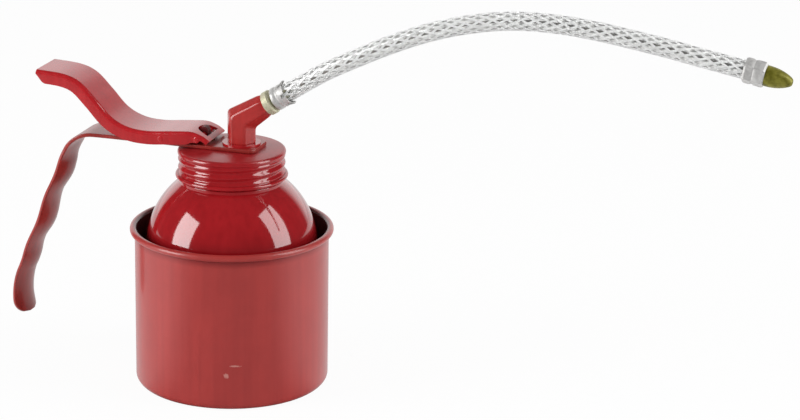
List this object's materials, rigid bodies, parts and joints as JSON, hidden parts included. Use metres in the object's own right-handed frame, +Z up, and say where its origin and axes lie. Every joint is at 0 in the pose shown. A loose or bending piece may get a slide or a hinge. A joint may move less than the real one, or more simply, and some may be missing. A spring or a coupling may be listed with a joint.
{
  "type": "flex spout oil can",
  "caption": "Hand oiler with a red enamelled can, a thumb lever over a waved strap handle, a lift pump in the screw cap and a clear braided hose spout.",
  "frame": {"origin": "middle of the base, on the plane that the can stands on", "axes": "+Z up along the can's axis, +X along the spout, -X toward the thumb lever and the strap handle"},
  "size_m": [0.308, 0.0798, 0.1598],
  "materials": {
    "red_enamel": "gloss",
    "rod_enamel": "gloss",
    "plated_steel": "satin",
    "cast_zinc": "matte",
    "turned_brass": "satin",
    "pale_brass": "satin",
    "olive_brass": "satin",
    "ferrule_aluminium": "satin",
    "black_rubber": "matte",
    "clear_hose": "gloss",
    "milky_tube": "satin"
  },
  "bodies": {
    "can": {"outer_cup": "red_enamel", "dome_shell": "red_enamel", "neck_ring": "red_enamel"},
    "cap_seal": {"cap_gasket": "black_rubber"},
    "head": {"screw_cap": "red_enamel", "handle_strap": "red_enamel", "spout_elbow": "red_enamel", "spout_washer": "red_enamel", "pump_head": "cast_zinc", "gland_nut": "turned_brass", "gland_packing": "black_rubber", "pump_cylinder": "plated_steel", "passage_plug": "plated_steel", "foot_valve": "turned_brass", "suction_tube": "milky_tube", "strainer": "turned_brass", "hose_fitting": "pale_brass", "root_ferrule": "ferrule_aluminium", "flex_hose": "clear_hose", "tip_ferrule": "ferrule_aluminium", "spout_nozzle": "olive_brass", "return_spring": "plated_steel", "outlet_spring": "plated_steel"},
    "lever": {"thumb_lever": "red_enamel", "fulcrum_pin": "red_enamel", "drive_pin": "red_enamel"},
    "plunger": {"piston_rod": "rod_enamel", "piston": "turned_brass", "piston_seal": "black_rubber"},
    "piston_check": {"piston_ball": "plated_steel"},
    "foot_check": {"foot_ball": "plated_steel"},
    "outlet_check": {"outlet_ball": "plated_steel"}
  },
  "joints": [
    {"name": "cap_lift", "type": "slide", "parent": "can", "child": "cap_seal", "axis": [0, 0, 1], "range_m": [0, 0.0099]},
    {"name": "cap_turn", "type": "hinge", "parent": "cap_seal", "child": "head", "pos_m": [0, 0, 0.0956], "axis": [0, 0, 1], "range_deg": [0, 1080]},
    {"name": "lever_press", "type": "hinge", "parent": "head", "child": "lever", "pos_m": [-0.026, 0, 0.0983], "axis": [0, -1, 0], "range_deg": [0, 12]},
    {"name": "pump_stroke", "type": "slide", "parent": "head", "child": "plunger", "axis": [0, 0, 1], "range_m": [0, 0.00309], "stiffness_N_per_m": 600, "springref_m": -0.003, "deforming": ["return_spring"]},
    {"name": "piston_check_lift", "type": "slide", "parent": "plunger", "child": "piston_check", "axis": [0, 0, 1], "range_m": [0, 0.0008]},
    {"name": "foot_check_lift", "type": "slide", "parent": "head", "child": "foot_check", "axis": [0, 0, 1], "range_m": [0, 0.0008]},
    {"name": "outlet_check_lift", "type": "slide", "parent": "head", "child": "outlet_check", "axis": [0, 0, 1], "range_m": [0, 0.0008], "stiffness_N_per_m": 115, "springref_m": -0.0006, "deforming": ["outlet_spring"]}
  ],
  "couplings": [
    {"joint": "cap_turn", "follows": "cap_lift", "rad_per_m": 1904},
    {"joint": "lever_press", "follows": "pump_stroke", "rad_per_m": 67.678}
  ]
}
